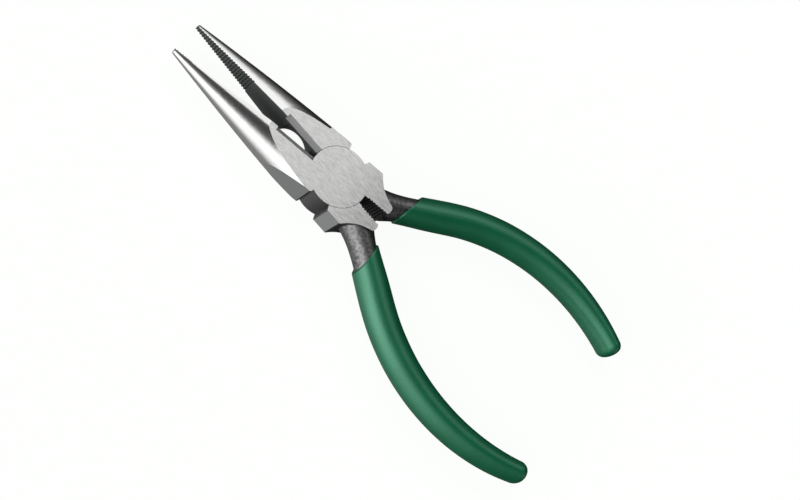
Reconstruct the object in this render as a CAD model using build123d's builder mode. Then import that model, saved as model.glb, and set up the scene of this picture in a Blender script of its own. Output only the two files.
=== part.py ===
from build123d import *
import os
from math import cos, radians, sin, tan

# Long-nose pliers with a lap joint: two forged halves that cross at a flush pivot rivet,
# and a slip-on grip on each handle.
#
# The tool's frame: Z = 0 is the ground back face of the head, +Z leaves the front face, the pivot
# axis is the Z axis, and +X runs midway between the two nose jaws towards their tips.
# Each half is first drawn closed in a frame of its own: +X along the nose, +Y towards the outside
# of that half's nose, +Z out of the face of that half's pivot disc, Z = 0 at the lap plane.
# Millimetres.

# Driving dimensions
HEAD_THICKNESS = 11.0        # between the two ground faces of the head
DISC_RADIUS = 8.75           # each half's pivot disc
NOSE_REACH = 56.0            # pivot axis to the nose tips
REST_OPENING = 9.4           # degrees between the two inner faces as the tool lies at rest
LAP_GAP = 0.05               # play between the two discs
SEAM_GAP = 0.12              # play round a disc, where the other half curves about it
RIVET_PLAY = 0.05            # radial running clearance of the rivet in the turning half

HALF_THICK = HEAD_THICKNESS / 2
FRONT_NOSE_WALL = 9.0        # closing plane to the ground outer side of the front half's nose
BACK_NOSE_WALL = 9.7         # the same on the back half, which is ground less
EAR_WALL = 9.4               # closing plane to the flat outer side behind the pivot
SHOULDER_ANGLE = 65.7        # degrees from the nose line to the shoulders that stop the opening
CORNER_ROUND = 0.45          # outer corners of the shoulders and ears
SHOULDER_BLOCK_FRONT = (11.4, 8.5)  # front outer corner of the back half's full-depth shoulder
SHOULDER_BLOCK_WALL = 9.42   # closing plane to its outer side at the shoulder itself

# Nose jaw: a rounded half cone, slightly convex along its length
TIP_HALF_WIDTH = 1.2
TIP_HALF_DEPTH = 1.0
WIDTH_TAPER = 0.231
WIDTH_CONVEXITY = 0.0007
DEPTH_TAPER = 0.1405
SQUARENESS = 2.5             # exponent of the rounded nose section and grip end, 2 being an ellipse
TIP_ROUND = 0.3

# Inner side of the nose: teeth from the tip, then a plain stretch, then the cutter
TOOTH_PITCH = 0.9
TOOTH_DEPTH = 0.34
NOSE_TEETH = 24
TIP_GAP = 0.05               # closing plane to the first tooth
PLAIN_GAP = 0.32             # closing plane to the plain stretch behind the teeth
PLAIN_START = NOSE_REACH - NOSE_TEETH * TOOTH_PITCH
CUTTER_END = 21.7            # pivot axis to the front end of the cutting edges
CUTTER_GAP = 0.05
CUTTER_LEVEL = 4.4           # lap plane to the cutting edges, towards the front face
BEVEL_WIDTH = 1.5
HOLLOW_CENTRE = 15.3         # the hollow behind the cutting edges, open to the back face
HOLLOW_BACK = (5.3, 4.3)     # its half length and half width at the back face
HOLLOW_TOP = (4.7, 0.2)      # the same just under the cutting edges
HOLLOW_ROOF = 0.3            # metal left above it at the edge

# Rear jaw behind the pivot, with its own teeth
REAR_REACH = 17.3
REAR_GAP = 0.7
REAR_TIP_WIDTH = 3.3
REAR_TEETH = 8
REAR_PITCH = 0.95
REAR_TEETH_START = 9.9
REAR_TIP_ROUND = 1.1
EAR_BACK = 9.3               # pivot axis to the rear end of the flat outer side
WAIST = (12.2, 5.95)         # a point on the hollowed edge between ear and rear tip

# Handle centre line: straight out of the head, then one long arc back towards the other
HANDLE_ANGLE = 30.0          # degrees between the closing plane and the straight stretch
HANDLE_ROOT = 7.8            # pivot axis to where the straight line meets the closing plane
ROOT_RUN = 4.0               # run at which the forging starts, inside the head
STRAIGHT_RUN = 29.3
MOUTH_RUN = 16.0             # run to the middle of the grip's mouth
BEND_RADIUS = 65.5
CORE_RUN = 89.7              # run at which the forging ends, inside the grip
HANDLE_SECTIONS = 14         # stretches between the sections that a handle is lofted through
ROOT_SWELL_RUN = 16.0        # the forging thins over this run, from its root to its neck
ROOT_SWELL_WIDTH = 2.77      # extra half width at the root
ROOT_SWELL_DEPTH = 0.9       # extra half depth at the root

# Grip: an oval sleeve that narrows towards its rounded end
GRIP_HALF_WIDTH = 4.72       # at its widest, where the straight stretch ends
GRIP_MOUTH_HALF_WIDTH = 4.35
GRIP_HALF_DEPTH = 5.2
GRIP_NARROWING = 1.62        # loss of half width over NARROWING_RUN
NARROWING_RUN = 65.9
GRIP_NARROWING_POWER = 2.4
GRIP_WALL = 0.85
GRIP_BLANK_RUN = 10.0        # run at which the grip's oval starts, before the mouth is cut
GRIP_MOUTH = (21.7, 8.0)     # a point of the slanted mouth
FRONT_MOUTH_TILT = 13.0      # degrees between the front grip's mouth and a plane square to the nose line
BACK_MOUTH_TILT = 8.0        # the same on the back grip
FRONT_GRIP_RUN = 96.2        # run to the end of the front grip
BACK_GRIP_RUN = 95.4         # the same of the back grip, whose end is thinner
GRIP_DOME = 3.2              # length of the rounded end
DOME_SECTIONS = 5
GRIP_LIP_ROUND = 0.3

# Rivet: a plain shank with a countersunk head at both faces, ground flush
RIVET_RADIUS = 2.6
RIVET_HEAD_RADIUS = 3.5
RIVET_HEAD_DEPTH = 1.3


def nose_half_width(x):
    """Half width of the nose section at a distance x from the pivot axis."""
    back = NOSE_REACH - x
    return TIP_HALF_WIDTH + WIDTH_TAPER * back - WIDTH_CONVEXITY * back**2


def nose_half_depth(x):
    """Half depth of the nose section at a distance x from the pivot axis."""
    return TIP_HALF_DEPTH + DEPTH_TAPER * (NOSE_REACH - x)


def inner_face(x):
    """Distance of the toothed face from the closing plane at x: the tips meet first."""
    share = (NOSE_REACH - x) / (NOSE_REACH - PLAIN_START)
    return TIP_GAP + (PLAIN_GAP - TIP_GAP) * share


def nose_section(x, shrink=0):
    """Rounded D-shaped section of the nose jaw, on a plane square to the nose line."""
    width = nose_half_width(x) - shrink
    depth = nose_half_depth(x) - shrink
    steps = 12
    rim = []
    for i in range(steps + 1):
        turn = radians(-90 + 180 * i / steps)
        across = width * max(cos(turn), 0) ** (2 / SQUARENESS)
        up = depth * abs(sin(turn)) ** (2 / SQUARENESS)
        rim.append((across, up if turn > 0 else -up))
    with BuildSketch(Plane.YZ.offset(x)) as section:
        with BuildLine():
            Spline(*rim, tangents=[(1, 0), (-1, 0)])
            Line(rim[-1], rim[0])
        make_face()
    return section.sketch


def tip_section(turn):
    """Section of the rounded end of the nose, turn degrees round its quarter circle."""
    x = NOSE_REACH - TIP_ROUND * (1 - sin(radians(turn)))
    return nose_section(x, shrink=TIP_ROUND * (1 - cos(radians(turn))))


def tooth_line(start, pitch, count, depth, face):
    """Points of a saw-tooth edge that runs back from x = start along the line y = face(x)."""
    points = []
    for i in range(count):
        crest = start - i * pitch
        root = crest - pitch / 2
        points.append((crest, face(crest)))
        points.append((root, face(root) + depth))
    return points


def handle_plane(run):
    """Plane square to the handle's centre line, run millimetres from the closing plane."""
    lean = radians(180 + HANDLE_ANGLE)
    x = -HANDLE_ROOT + min(run, STRAIGHT_RUN) * cos(lean)
    y = min(run, STRAIGHT_RUN) * sin(lean)
    if run > STRAIGHT_RUN:
        turned = lean - (run - STRAIGHT_RUN) / BEND_RADIUS
        x += BEND_RADIUS * (sin(lean) - sin(turned))
        y += BEND_RADIUS * (cos(turned) - cos(lean))
        lean = turned
    return Plane(origin=(x, y, 0), x_dir=(-sin(lean), cos(lean), 0), z_dir=(cos(lean), sin(lean), 0))


def grip_half_width(run):
    """In-plane half width of the grip at a run along the handle's centre line."""
    if run < STRAIGHT_RUN:
        short = (STRAIGHT_RUN - run) / (STRAIGHT_RUN - MOUTH_RUN)
        return GRIP_HALF_WIDTH - (GRIP_HALF_WIDTH - GRIP_MOUTH_HALF_WIDTH) * short**2
    along_arc = (run - STRAIGHT_RUN) / NARROWING_RUN
    return GRIP_HALF_WIDTH - GRIP_NARROWING * along_arc**GRIP_NARROWING_POWER


def handle_section(run, half_width, half_depth):
    """Oval section of the handle or grip, square to its centre line."""
    with BuildSketch(handle_plane(run)) as section:
        Ellipse(half_width, half_depth)
    return section.sketch


def rivet_shape(play):
    """Countersunk rivet on the Z axis, made larger all round by play."""
    shank = RIVET_RADIUS + play
    head = RIVET_HEAD_RADIUS + play
    neck = HALF_THICK - RIVET_HEAD_DEPTH
    with BuildPart() as shape:
        with BuildSketch(Plane.XZ):
            with BuildLine():
                Polyline(
                    (0, -HALF_THICK),
                    (head, -HALF_THICK),
                    (shank, -neck),
                    (shank, neck),
                    (head, HALF_THICK),
                    (0, HALF_THICK),
                    close=True,
                )
            make_face()
        revolve(axis=Axis.Z)
    return shape.part


def nose_jaw(wall):
    """Rounded nose jaw, cut off by the ground faces, its side wall and the shoulder."""
    shoulder_x = wall / tan(radians(SHOULDER_ANGLE))
    with BuildPart() as jaw:
        loft([nose_section(x) for x in (NOSE_REACH - TIP_ROUND, NOSE_REACH / 2, 0)])
        loft([tip_section(turn) for turn in (0, 30, 60, 90)])
        with BuildSketch(Plane.XY.offset(-HALF_THICK)) as outline:
            with BuildLine():
                Polyline(
                    (0, 0),
                    (NOSE_REACH, 0),
                    (NOSE_REACH, wall),
                    (shoulder_x, wall),
                    close=True,
                )
            make_face()
            shoulder = outline.vertices().sort_by_distance((shoulder_x, wall, -HALF_THICK))[0]
            fillet(shoulder, CORNER_ROUND)
        extrude(amount=HEAD_THICKNESS, mode=Mode.INTERSECT)
    return jaw.part


def shoulder_block():
    """Full-depth block at the outer shoulder, where the ground face is wider than the nose."""
    shoulder_x = SHOULDER_BLOCK_WALL / tan(radians(SHOULDER_ANGLE))
    with BuildPart() as block:
        with BuildSketch(Plane.XY.offset(-HALF_THICK)) as outline:
            with BuildLine():
                Polyline(
                    (0, 0),
                    (SHOULDER_BLOCK_FRONT[0], 0),
                    SHOULDER_BLOCK_FRONT,
                    (shoulder_x, SHOULDER_BLOCK_WALL),
                    close=True,
                )
            make_face()
            fillet(outline.vertices().sort_by(Axis.Y)[-1], CORNER_ROUND)
        extrude(amount=HEAD_THICKNESS)
    return block.part


def jaw_relief():
    """Everything between the closing plane and the toothed, plain and cutting faces."""
    teeth = tooth_line(NOSE_REACH, TOOTH_PITCH, NOSE_TEETH, TOOTH_DEPTH, inner_face)
    with BuildPart() as relief:
        with BuildSketch(Plane.XY.offset(-HALF_THICK)):
            with BuildLine():
                Polyline(
                    (0, -1),
                    (NOSE_REACH + 1, -1),
                    (NOSE_REACH + 1, TIP_GAP),
                    *teeth,
                    (PLAIN_START, PLAIN_GAP),
                    (CUTTER_END, PLAIN_GAP),
                    (CUTTER_END, CUTTER_GAP),
                    (0, CUTTER_GAP),
                    close=True,
                )
            make_face()
        extrude(amount=HEAD_THICKNESS)
    return relief.part


def cutter_relief(face_side):
    """Front bevel and rear hollow of a cutting edge; face_side is +1 where Z is the tool's own up."""
    edge_z = CUTTER_LEVEL * face_side
    face_z = HALF_THICK * face_side
    with BuildPart() as relief:
        with BuildSketch(Plane.YZ):
            with BuildLine():
                Polyline(
                    (CUTTER_GAP, edge_z),
                    (BEVEL_WIDTH, face_z),
                    (BEVEL_WIDTH, face_z + face_side),
                    (-1, face_z + face_side),
                    (-1, edge_z),
                    close=True,
                )
            make_face()
        extrude(amount=CUTTER_END)
        with BuildSketch(Plane.XY.offset(-face_z)) as back_slot:
            with Locations((HOLLOW_CENTRE, 0)):
                Ellipse(*HOLLOW_BACK)
        with BuildSketch(Plane.XY.offset(edge_z - HOLLOW_ROOF * face_side)) as top_slot:
            with Locations((HOLLOW_CENTRE, 0)):
                Ellipse(*HOLLOW_TOP)
        loft([back_slot.sketch, top_slot.sketch], ruled=True)
    return relief.part


def rear_jaw():
    """Ear and rear jaw behind the pivot, the full thickness of the head."""
    shoulder_slope = 1 / tan(radians(SHOULDER_ANGLE))
    with BuildPart() as jaw:
        with BuildSketch(Plane.XY.offset(-HALF_THICK)) as outline:
            with BuildLine():
                Polyline(
                    (-REAR_REACH, -REAR_GAP),
                    (-REAR_GAP * shoulder_slope, -REAR_GAP),
                    (-EAR_WALL * shoulder_slope, -EAR_WALL),
                    (-EAR_BACK, -EAR_WALL),
                )
                ThreePointArc(
                    (-EAR_BACK, -EAR_WALL),
                    (-WAIST[0], -WAIST[1]),
                    (-REAR_REACH, -REAR_TIP_WIDTH),
                )
                Line((-REAR_REACH, -REAR_TIP_WIDTH), (-REAR_REACH, -REAR_GAP))
            make_face()
            fillet(outline.vertices().group_by(Axis.X)[0], REAR_TIP_ROUND)
            fillet(outline.vertices().group_by(Axis.Y)[0], CORNER_ROUND)
        extrude(amount=HEAD_THICKNESS)
    return jaw.part


def rear_relief():
    """What the teeth of the rear jaw are cut out by."""
    teeth = tooth_line(-REAR_TEETH_START, REAR_PITCH, REAR_TEETH, -TOOTH_DEPTH, lambda x: -REAR_GAP)
    with BuildPart() as relief:
        with BuildSketch(Plane.XY.offset(-HALF_THICK)):
            with BuildLine():
                Polyline(*teeth, (-REAR_REACH, 0), (-REAR_TEETH_START, 0), close=True)
            make_face()
        extrude(amount=HEAD_THICKNESS)
    return relief.part


def even_runs(start, end):
    """Evenly spaced runs along the handle, so that a loft through them stays smooth."""
    return [start + (end - start) * i / HANDLE_SECTIONS for i in range(HANDLE_SECTIONS + 1)]


def core_section(run):
    """Section of the forged handle, which fills the grip and swells towards the head."""
    swell = max(1 - (run - ROOT_RUN) / ROOT_SWELL_RUN, 0) ** 2
    half_width = grip_half_width(run) - GRIP_WALL + ROOT_SWELL_WIDTH * swell
    half_depth = GRIP_HALF_DEPTH - GRIP_WALL + ROOT_SWELL_DEPTH * swell
    return handle_section(run, half_width, half_depth)


def handle_core():
    """Forged handle from inside the head to its end inside the grip."""
    inner_side = Plane(origin=(0, -REAR_GAP, 0), z_dir=(0, -1, 0))
    with BuildPart() as core:
        loft([core_section(run) for run in even_runs(ROOT_RUN, CORE_RUN)])
        split(bisect_by=inner_side, keep=Keep.TOP)
    return core.part


def grip_blank(end_run, mouth_tilt):
    """Grip before it is hollowed: oval, slanted at the mouth and domed at end_run."""
    dome_run = end_run - GRIP_DOME
    dome = []
    for i in range(DOME_SECTIONS):
        turn = radians(90 * i / DOME_SECTIONS)
        run = dome_run + GRIP_DOME * sin(turn) ** (2 / SQUARENESS)
        shrink = cos(turn) ** (2 / SQUARENESS)
        dome.append(handle_section(run, grip_half_width(dome_run) * shrink, GRIP_HALF_DEPTH * shrink))
    dome.append(Vertex(*handle_plane(end_run).origin))
    mouth_lean = radians(mouth_tilt)
    mouth = Plane(
        origin=(-GRIP_MOUTH[0], -GRIP_MOUTH[1], 0),
        z_dir=(-cos(mouth_lean), sin(mouth_lean), 0),
    )
    with BuildPart() as blank:
        loft([
            handle_section(run, grip_half_width(run), GRIP_HALF_DEPTH)
            for run in even_runs(GRIP_BLANK_RUN, dome_run)
        ])
        loft(dome)
        split(bisect_by=mouth, keep=Keep.TOP)
        mouth_face = blank.faces().filter_by(GeomType.PLANE).sort_by(Axis.X)[-1]
        fillet(mouth_face.edges(), GRIP_LIP_ROUND)
    return blank.part


def forged_half(face_side, nose_wall, rivet_play, wide_shoulder):
    """One forged half in its own frame. face_side is +1 where its disc faces up, -1 where down."""
    rim = DISC_RADIUS + SEAM_GAP
    lap = LAP_GAP / 2
    with BuildPart() as half:
        add(nose_jaw(nose_wall))
        if wide_shoulder:
            add(shoulder_block())
        add(jaw_relief(), mode=Mode.SUBTRACT)
        add(cutter_relief(face_side), mode=Mode.SUBTRACT)
        add(rear_jaw())
        add(handle_core())
        add(rear_relief(), mode=Mode.SUBTRACT)
        with BuildSketch(Plane.XY.offset(lap)):
            Circle(DISC_RADIUS)
        extrude(amount=HALF_THICK - lap)
        with BuildSketch(Plane.XY.offset(lap)):
            Circle(rim)
        extrude(amount=-HEAD_THICKNESS, mode=Mode.SUBTRACT)
        add(rivet_shape(rivet_play), mode=Mode.SUBTRACT)
    return half.part


os.makedirs("parts", exist_ok=True)

# Both halves lie open by half of the rest opening each, with the back face of the head at Z = 0.
# The back half is the front one turned over about the nose line.
front_place = Location((0, 0, HALF_THICK), (0, 0, REST_OPENING / 2))
back_place = Location((0, 0, HALF_THICK), (180, 0, REST_OPENING / 2))

with BuildPart() as front_half:
    with Locations(front_place):
        add(forged_half(face_side=1, nose_wall=FRONT_NOSE_WALL, rivet_play=0, wide_shoulder=False))
front_half.part.label = "front_half"
export_step(front_half.part, "parts/front_half.step")

with BuildPart() as back_half:
    with Locations(back_place):
        add(
            forged_half(
                face_side=-1,
                nose_wall=BACK_NOSE_WALL,
                rivet_play=RIVET_PLAY,
                wide_shoulder=True,
            )
        )
back_half.part.label = "back_half"
export_step(back_half.part, "parts/back_half.step")

with BuildPart() as pivot_rivet:
    with Locations(front_place):
        add(rivet_shape(play=0))
pivot_rivet.part.label = "pivot_rivet"
export_step(pivot_rivet.part, "parts/pivot_rivet.step")

with BuildPart() as front_grip:
    with Locations(front_place):
        add(grip_blank(FRONT_GRIP_RUN, FRONT_MOUTH_TILT))
        add(handle_core(), mode=Mode.SUBTRACT)
front_grip.part.label = "front_grip"
export_step(front_grip.part, "parts/front_grip.step")

with BuildPart() as back_grip:
    with Locations(back_place):
        add(grip_blank(BACK_GRIP_RUN, BACK_MOUTH_TILT))
        add(handle_core(), mode=Mode.SUBTRACT)
back_grip.part.label = "back_grip"
export_step(back_grip.part, "parts/back_grip.step")
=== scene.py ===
import math

import bpy
from mathutils import Matrix, Vector


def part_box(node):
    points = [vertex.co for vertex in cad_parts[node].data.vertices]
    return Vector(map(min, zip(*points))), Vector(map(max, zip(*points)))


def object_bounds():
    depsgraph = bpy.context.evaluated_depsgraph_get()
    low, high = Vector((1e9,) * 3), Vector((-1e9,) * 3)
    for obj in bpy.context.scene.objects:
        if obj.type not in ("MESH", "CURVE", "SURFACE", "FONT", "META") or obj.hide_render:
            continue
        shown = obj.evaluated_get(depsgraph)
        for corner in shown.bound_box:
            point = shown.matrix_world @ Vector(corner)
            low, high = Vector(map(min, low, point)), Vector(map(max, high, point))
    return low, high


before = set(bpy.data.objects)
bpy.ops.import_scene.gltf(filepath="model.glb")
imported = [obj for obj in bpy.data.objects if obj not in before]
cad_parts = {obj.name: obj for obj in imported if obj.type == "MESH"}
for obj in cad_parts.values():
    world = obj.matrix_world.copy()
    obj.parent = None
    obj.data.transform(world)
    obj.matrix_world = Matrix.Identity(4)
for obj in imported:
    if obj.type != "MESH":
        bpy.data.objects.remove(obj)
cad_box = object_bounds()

# Long-nose pliers. Everything is in metres, in the frame of the CAD model: the pivot axis is the Z
# axis, +X runs between the nose jaws to their tips, and the tool lies on Z = 0 with its front up.
# Inside the materials, positions are in millimetres.

MM = 0.001
REST_OPENING = math.radians(9.4)      # between the two nose jaws at rest
FRONT_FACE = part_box("pivot_rivet")[1].z
LAP_PLANE = FRONT_FACE / 2

# Camera: a long lens that looks at the head and grips from above the +Y side
CAMERA_TARGET = Vector((-25.94 * MM, 3.05 * MM, FRONT_FACE))
CAMERA_DISTANCE = 0.42484
CAMERA_AZIMUTH = math.radians(159.58)
CAMERA_ELEVATION = math.radians(62.38)
CAMERA_ROLL = math.radians(62.65)
CAMERA_LENS = 69.38
SENSOR_WIDTH = 36.0
CLIP_RANGE = (0.01, 10.0)

# Floor: half its side as a multiple of the tool's diagonal, and how far it lies under the tool
FLOOR_REACH = 12
FLOOR_DROP = 0.02 * MM

# Studio: brightness round the tool's long axis, by the angle from straight up towards +Y
STUDIO = [
    (-180, 0.24),
    (-168, 0.13),
    (-152, 0.03),
    (-98, 0.025),
    (-79, 0.075),
    (-68, 0.15),
    (-62, 0.22),
    (-57, 0.36),
    (-53, 0.54),
    (-49, 0.76),
    (-45, 0.95),
    (-40, 1.09),
    (-30, 1.08),
    (-21, 0.97),
    (-16.6, 0.75),
    (-13, 0.26),
    (-9, 0.10),
    (0, 0.055),
    (12, 0.12),
    (20, 0.27),
    (26, 0.49),
    (32, 0.70),
    (38, 0.97),
    (45, 1.20),
    (52, 1.40),
    (76, 1.35),
    (90, 1.10),
    (106, 0.86),
    (118, 0.60),
    (130, 0.36),
    (144, 0.25),
    (180, 0.24),
]
STUDIO_ENDS = 0.60                    # off both ends of the tool, where the bands run together
STUDIO_ENDS_SPAN = (0.86, 0.99)       # |X| of the direction over which they do

# The same light changes along the tool: a factor by the X of the direction
STUDIO_ALONG = [
    (-1.0, 0.55),
    (-0.93, 0.35),
    (-0.84, 0.08),
    (-0.6, 0.12),
    (-0.45, 0.24),
    (-0.3, 0.40),
    (-0.2, 0.60),
    (-0.1, 0.86),
    (0.0, 1.0),
    (0.2, 1.05),
    (0.4, 1.7),
    (0.6, 2.4),
    (0.75, 1.6),
    (0.88, 0.2),
    (1.0, 0.5),
]


# ---------------------------------------------------------------- shader nodes


class Shader:
    """A node tree that is wired by calling it: each call adds a node and gives its output."""

    def __init__(self, tree):
        self.tree = tree
        tree.nodes.clear()

    def add(self, kind, out=0, inputs=None, **settings):
        node = self.tree.nodes.new(kind)
        for name, value in settings.items():
            setattr(node, name, value)
        for key, value in (inputs or {}).items():
            socket = node.inputs[key]
            if isinstance(value, bpy.types.NodeSocket):
                self.tree.links.new(value, socket)
            else:
                socket.default_value = value
        return node.outputs[out] if len(node.outputs) else node

    def math(self, operation, a, b=0.0, c=0.0, clamp=False):
        inputs = {0: a, 1: b, 2: c}
        return self.add("ShaderNodeMath", inputs=inputs, operation=operation, use_clamp=clamp)

    def vector(self, operation, a, b=(0.0, 0.0, 0.0), out="Vector"):
        return self.add("ShaderNodeVectorMath", out=out, inputs={0: a, 1: b}, operation=operation)

    def times(self, *factors):
        product = factors[0]
        for factor in factors[1:]:
            product = self.math("MULTIPLY", product, factor)
        return product

    def above(self, value, edge):
        """1 where value is above edge, 0 elsewhere."""
        return self.math("GREATER_THAN", value, edge)

    def below(self, value, edge):
        """0 where value is above edge, 1 elsewhere."""
        return self.math("SUBTRACT", 1.0, self.above(value, edge))

    def without(self, mask, *others):
        """mask where none of the others holds."""
        for other in others:
            mask = self.math("MULTIPLY", mask, self.math("SUBTRACT", 1.0, other))
        return mask

    def ramp(self, value, span, levels):
        """Smooth step of value from the first level to the second over span."""
        inputs = {
            "Value": value,
            "From Min": span[0],
            "From Max": span[1],
            "To Min": levels[0],
            "To Max": levels[1],
        }
        return self.add("ShaderNodeMapRange", inputs=inputs, interpolation_type="SMOOTHSTEP")

    def mix(self, share, a, b):
        return self.add("ShaderNodeMix", inputs={0: share, 2: a, 3: b}, data_type="FLOAT")

    def mix_colour(self, share, a, b, blend="MIX"):
        inputs = {0: share, 6: a, 7: b}
        return self.add("ShaderNodeMix", out=2, inputs=inputs, data_type="RGBA", blend_type=blend)

    def stops(self, share, levels):
        """Grey that runs smoothly through levels, a list of (position from 0 to 1, level)."""
        output = self.add("ShaderNodeValToRGB", inputs={0: share})
        ramp = output.node.color_ramp
        ramp.interpolation = "EASE"
        first, last = ramp.elements
        first.position, last.position = levels[0][0], levels[-1][0]
        first.color, last.color = grey(levels[0][1]), grey(levels[-1][1])
        for position, level in levels[1:-1]:
            ramp.elements.new(position).color = grey(level)
        return output

    def noise(self, where, scale, detail, roughness):
        inputs = {"Vector": where, "Scale": scale, "Detail": detail, "Roughness": roughness}
        return self.add("ShaderNodeTexNoise", inputs=inputs)

    def stretched(self, where, size):
        """Coordinates divided by size, so that a pattern on them is that large along each axis."""
        return self.vector("MULTIPLY", where, tuple(1.0 / s for s in size))

    def split(self, vector):
        """The three components of a vector."""
        return list(self.add("ShaderNodeSeparateXYZ", inputs={0: vector}).node.outputs)

    def bump(self, height, distance, normal=None):
        inputs = {"Height": height, "Distance": distance, "Strength": 1.0}
        if normal is not None:
            inputs["Normal"] = normal
        return self.add("ShaderNodeBump", inputs=inputs)

    def surface(self, **inputs):
        """Principled shader to the material's output. Names are given with _ for a space."""
        named = {name.replace("_", " "): value for name, value in inputs.items()}
        shader = self.add("ShaderNodeBsdfPrincipled", inputs=named)
        self.add("ShaderNodeOutputMaterial", inputs={"Surface": shader})


def new_material(name):
    material = bpy.data.materials.new(name)
    material.use_nodes = True
    return material, Shader(material.node_tree)


def grey(level, tint=(1.0, 1.0, 1.0)):
    return (level * tint[0], level * tint[1], level * tint[2], 1.0)


# ---------------------------------------------------------------- zones of a forged half

# Positions in millimetres in the half's own frame, and components of the unit normal there
HALF_THICK = LAP_PLANE / MM
DISC_RADIUS = 8.75
FLAT_FACING = 0.995                   # a ground face looks up or down by more than this
FLAT_SKIN = 0.08                      # and lies this near the head's front or back
WALL_SIDEWAYS = 0.998                 # a ground side wall looks sideways by more than this
WALL_SIDE = 8.9                       # and lies further out than this from the closing plane
BEVEL_FACING = (0.7, 0.9)             # the cutter's bevel looks up or down by between these
BEVEL_INWARDS = -0.4                  # looks towards the closing plane by more than this
BEVEL_START = 2.0                     # and lies further ahead of the pivot axis than this
DISC_WALL_FACING = 0.1                # the disc's wall looks up or down by less than this
DISC_WALL_SKIN = 0.1                  # and lies this near the disc's radius
INWARDS = -0.02                       # a normal's Y below this looks towards the closing plane
NOSE_START = 3.5                      # the polished nose starts here
NOSE_INSIDE = 0.2                     # lies further out than this from the closing plane
NOSE_FORWARDS = -0.06                 # and never looks further back than this
REAR_START = -8.0                     # the inner side of the rear jaw lies behind this
REAR_INSIDE = -1.6                    # and no further out than this from the closing plane
REAR_INWARDS = 0.2                    # looks towards the closing plane by more than this
REAR_FACING = 0.5                     # and up or down by less than this


def half_coordinates(s, turned_over):
    """Position and normal in the frame that both forged halves share: +X along the half's own
    nose, +Y to its outer side, Z = 0 at the lap plane, +Z out of its disc's face."""
    flip = (1.0, -1.0, -1.0) if turned_over else (1.0, 1.0, 1.0)
    place = s.add("ShaderNodeTexCoord", out="Object")
    normal = s.add("ShaderNodeTexCoord", out="Normal")
    lifted = s.vector("SUBTRACT", place, (0.0, 0.0, LAP_PLANE))
    position = s.vector("MULTIPLY", lifted, tuple(f / MM for f in flip))
    turned = []
    for vector in (position, s.vector("MULTIPLY", normal, flip)):
        inputs = {"Vector": vector, "Angle": -REST_OPENING / 2}
        turned.append(s.add("ShaderNodeVectorRotate", inputs=inputs, rotation_type="Z_AXIS"))
    return turned


def finish_zones(s, where, normal):
    """Masks of the finishes on a forged half. What no mask holds is the black oxide of the neck."""
    x, y, z = s.split(where)
    nx, ny, nz = s.split(normal)
    facing = s.math("ABSOLUTE", nz)
    sideways = s.math("ABSOLUTE", ny)
    radius = s.vector("LENGTH", s.vector("MULTIPLY", where, (1.0, 1.0, 0.0)), out="Value")
    off_rim = s.math("ABSOLUTE", s.math("SUBTRACT", radius, DISC_RADIUS))

    flat = s.times(
        s.above(facing, FLAT_FACING),
        s.above(s.math("ABSOLUTE", z), HALF_THICK - FLAT_SKIN),
    )
    wall = s.times(
        s.above(sideways, WALL_SIDEWAYS),
        s.above(s.math("ABSOLUTE", y), WALL_SIDE),
    )
    bevel = s.times(
        s.above(facing, BEVEL_FACING[0]),
        s.below(facing, BEVEL_FACING[1]),
        s.below(ny, BEVEL_INWARDS),
        s.above(x, BEVEL_START),
    )
    disc_wall = s.times(
        s.below(facing, DISC_WALL_FACING),
        s.below(off_rim, DISC_WALL_SKIN),
    )
    nose = s.times(
        s.above(x, NOSE_START),
        s.above(y, NOSE_INSIDE),
        s.above(ny, INWARDS),
        s.above(nx, NOSE_FORWARDS),
    )
    inner = s.times(
        s.above(x, 0.0),
        s.below(ny, INWARDS),
    )
    rear = s.times(
        s.below(x, REAR_START),
        s.above(y, REAR_INSIDE),
        s.above(ny, REAR_INWARDS),
        s.below(facing, REAR_FACING),
    )
    machined = (flat, wall, bevel, disc_wall)
    return {
        "flat": flat,
        "wall": wall,
        "bevel": bevel,
        "disc_wall": disc_wall,
        "nose": s.without(nose, *machined),
        "inner": s.without(inner, *machined),
        "rear": rear,
    }


# ---------------------------------------------------------------- materials

# Forged half: colour and roughness of each plain finish, in the order in which they cover each other
PLAIN_FINISHES = {
    "inner": (grey(0.115, (0.92, 1.04, 0.97)), 0.60),
    "rear": (grey(0.035), 0.42),
    "disc_wall": (grey(0.22), 0.42),
    "wall": (grey(0.77, (0.97, 1.0, 0.985)), 0.42),
    "bevel": (grey(0.34), 0.60),
}
METALLIC = {"inner": 0.2, "rear": 0.5, "bevel": 0.3}      # every other finish is a full metal
NECK_LIGHT = grey(0.25)
NECK_DARK = grey(0.12)
NOSE_COLOUR = grey(0.80, (1.0, 1.0, 0.99))
GROUND_TINT = grey(1.0, (1.0, 1.0, 0.99))
GROUND_LEVEL = 0.80
GROUND_DARKER = (-17.0, 1.0)          # X over which ground faces get darker towards the rear
GROUND_CLOUDED = (-14.0, 2.0)         # X over which they get more clouded towards the rear

VINYL_DARK = (0.002, 0.128, 0.051, 1)
VINYL_LIGHT = (0.003, 0.146, 0.061, 1)
VINYL_SHEEN = (0.48, 1.0, 0.76, 1)

FLOOR_COLOUR = (0.06, 0.06, 0.06, 1)
FLOOR_GLOW = (0.945, 0.96, 0.945, 1)

# Depth of the surface texture
BRUSHED_DEPTH = 0.02 * MM
POLISHED_DEPTH = 0.004 * MM
CAST_DEPTH = 0.05 * MM
PEEL_DEPTH = 0.03 * MM

# The part of a noise's range that its pattern mostly fills
NOISE_SPAN = (0.3, 0.7)


def tool_frame_millimetres(s):
    return s.vector("MULTIPLY", s.add("ShaderNodeTexCoord", out="Object"), (1 / MM, 1 / MM, 1 / MM))


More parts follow.
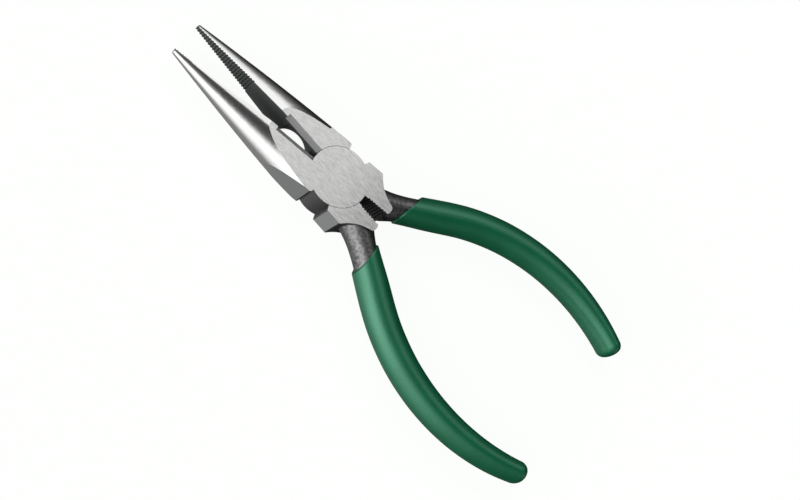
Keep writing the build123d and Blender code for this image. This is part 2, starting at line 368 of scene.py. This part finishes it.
def brushed_height(s, where):
    """Height of short grinding lines along X, and of a broader mottling, each 0 to 1."""
    fine = s.noise(s.stretched(where, (2.4, 0.24, 0.24)), scale=1.0, detail=4.0, roughness=0.65)
    broad = s.noise(s.stretched(where, (2.4, 0.8, 0.8)), scale=1.0, detail=4.0, roughness=0.6)
    return fine, broad


def ground_colour(s, where, fine, broad):
    """Ground steel: light grey, streaked along X and clouded, darker towards the rear."""
    x = s.split(where)[0]
    darker = s.ramp(x, GROUND_DARKER, (0.72, 1.0))
    cloud_depth = s.ramp(x, GROUND_CLOUDED, (0.12, 0.05))
    clouds = s.times(s.ramp(broad, NOISE_SPAN, (-1.0, 1.0)), cloud_depth)
    streaks = s.math("ADD", s.ramp(fine, (0.34, 0.66), (0.82, 1.14)), clouds)
    level = s.times(GROUND_LEVEL, darker, streaks)
    return s.mix_colour(1.0, GROUND_TINT, level, blend="MULTIPLY")


def ground_roughness(s, fine):
    return s.ramp(fine, NOISE_SPAN, (0.26, 0.34))


def ground_steel(name):
    """Steel ground flat along X, as both faces of the head are."""
    material, s = new_material(name)
    where = tool_frame_millimetres(s)
    fine, broad = brushed_height(s, where)
    s.surface(
        Base_Color=ground_colour(s, where, fine, broad),
        Metallic=1.0,
        Roughness=ground_roughness(s, fine),
        Normal=s.bump(fine, BRUSHED_DEPTH),
    )
    return material


def forged_steel(name, turned_over):
    """One forged half: ground faces, polished nose, satin side walls, black oxide elsewhere."""
    material, s = new_material(name)
    where, normal = half_coordinates(s, turned_over)
    zones = finish_zones(s, where, normal)
    tool = tool_frame_millimetres(s)
    fine, broad = brushed_height(s, tool)
    scale_spots = s.noise(where, scale=1.1, detail=5.0, roughness=0.65)
    pits = s.noise(where, scale=3.2, detail=4.0, roughness=0.7)
    polish = s.noise(s.stretched(where, (5.0, 0.25, 0.25)), scale=1.0, detail=3.0, roughness=0.6)

    colour = s.mix_colour(s.ramp(scale_spots, (0.40, 0.64), (0.0, 1.0)), NECK_LIGHT, NECK_DARK)
    rough = s.ramp(pits, NOISE_SPAN, (0.34, 0.46))
    for zone, (zone_colour, zone_roughness) in PLAIN_FINISHES.items():
        colour = s.mix_colour(zones[zone], colour, zone_colour)
        rough = s.mix(zones[zone], rough, zone_roughness)
    colour = s.mix_colour(zones["nose"], colour, NOSE_COLOUR)
    rough = s.mix(zones["nose"], rough, s.ramp(polish, NOISE_SPAN, (0.08, 0.14)))
    colour = s.mix_colour(zones["flat"], colour, ground_colour(s, tool, fine, broad))
    rough = s.mix(zones["flat"], rough, ground_roughness(s, fine))
    metal = 1.0
    for zone, level in METALLIC.items():
        metal = s.mix(zones[zone], metal, level)

    brushed = s.math("ADD", s.math("ADD", zones["flat"], zones["wall"]), zones["bevel"], clamp=True)
    raw = s.without(1.0, zones["nose"], brushed)
    lines = s.bump(s.times(fine, brushed), BRUSHED_DEPTH)
    scratches = s.bump(s.times(polish, zones["nose"]), POLISHED_DEPTH, normal=lines)
    cast = s.bump(s.times(s.math("ADD", pits, scale_spots), raw), CAST_DEPTH, normal=scratches)
    s.surface(Base_Color=colour, Metallic=metal, Roughness=rough, Normal=cast)
    return material


def green_vinyl(name):
    """Dipped vinyl: satin green with a faint orange peel and slight clouding."""
    material, s = new_material(name)
    where = tool_frame_millimetres(s)
    clouds = s.noise(where, scale=0.12, detail=3.0, roughness=0.5)
    peel = s.noise(where, scale=1.6, detail=3.0, roughness=0.5)
    grain = s.noise(where, scale=9.0, detail=2.0, roughness=0.6)
    height = s.math("ADD", s.times(peel, 0.7), s.times(grain, 0.3))
    s.surface(
        Base_Color=s.mix_colour(s.ramp(clouds, NOISE_SPAN, (0.0, 1.0)), VINYL_DARK, VINYL_LIGHT),
        Roughness=s.ramp(grain, NOISE_SPAN, (0.28, 0.36)),
        IOR=1.7,
        Specular_IOR_Level=0.9,
        Specular_Tint=VINYL_SHEEN,
        Normal=s.bump(height, PEEL_DEPTH),
    )
    return material


def paint(node, material):
    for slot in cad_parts[node].material_slots:
        slot.material = material


# ---------------------------------------------------------------- studio


def make_world():
    """Soft light all round, by the direction that it comes from."""
    world = bpy.data.worlds.new("studio")
    world.use_nodes = True
    s = Shader(world.node_tree)
    x, y, z = s.split(s.add("ShaderNodeTexCoord", out="Generated"))
    turn = s.math("MULTIPLY_ADD", s.math("ARCTAN2", y, z), 1 / math.tau, 0.5)
    bands = s.stops(turn, [(degrees / 360 + 0.5, level) for degrees, level in STUDIO])
    way = s.math("MULTIPLY_ADD", x, 0.5, 0.5)
    along = s.stops(way, [(0.5 * direction + 0.5, factor) for direction, factor in STUDIO_ALONG])
    ends = s.ramp(s.math("ABSOLUTE", x), STUDIO_ENDS_SPAN, (0.0, 1.0))
    level = s.mix_colour(ends, bands, grey(STUDIO_ENDS))
    colour = s.mix_colour(1.0, level, along, blend="MULTIPLY")
    light = s.add("ShaderNodeBackground", inputs={"Color": colour, "Strength": 1.0})
    s.add("ShaderNodeOutputWorld", inputs={"Surface": light})
    bpy.context.scene.world = world


def make_floor():
    """Pale floor that the tool lies on. It glows evenly and adds no light to the tool."""
    low, high = cad_box
    half = FLOOR_REACH * (high - low).length
    corners = [(-half, -half), (half, -half), (half, half), (-half, half)]
    mesh = bpy.data.meshes.new("floor")
    mesh.from_pydata([(x, y, low.z - FLOOR_DROP) for x, y in corners], [], [(0, 1, 2, 3)])
    floor = bpy.data.objects.new("floor", mesh)
    bpy.context.scene.collection.objects.link(floor)
    material, s = new_material("pale_floor")
    s.surface(
        Base_Color=FLOOR_COLOUR,
        Roughness=1.0,
        Emission_Color=FLOOR_GLOW,
        Emission_Strength=1.0,
    )
    mesh.materials.append(material)
    floor.visible_glossy = False
    floor.visible_diffuse = False


def make_camera():
    back = Vector((
        math.sin(CAMERA_AZIMUTH) * math.cos(CAMERA_ELEVATION),
        -math.cos(CAMERA_AZIMUTH) * math.cos(CAMERA_ELEVATION),
        math.sin(CAMERA_ELEVATION),
    ))
    right = Vector((0, 0, 1)).cross(back).normalized()
    right.rotate(Matrix.Rotation(CAMERA_ROLL, 3, back))
    up = back.cross(right)
    data = bpy.data.cameras.new("camera")
    data.sensor_width = SENSOR_WIDTH
    data.lens = CAMERA_LENS
    data.clip_start, data.clip_end = CLIP_RANGE
    camera = bpy.data.objects.new("camera", data)
    place = Matrix((right, up, back)).transposed().to_4x4()
    place.translation = CAMERA_TARGET + back * CAMERA_DISTANCE
    camera.matrix_world = place
    bpy.context.scene.collection.objects.link(camera)
    bpy.context.scene.camera = camera


# ---------------------------------------------------------------- the scene

make_camera()
make_world()
make_floor()
bpy.context.scene.view_settings.view_transform = "Standard"

paint("front_half", forged_steel("front_forging", turned_over=False))
paint("back_half", forged_steel("back_forging", turned_over=True))
paint("pivot_rivet", ground_steel("rivet_ground"))
vinyl = green_vinyl("green_vinyl_dip")
paint("front_grip", vinyl)
paint("back_grip", vinyl)
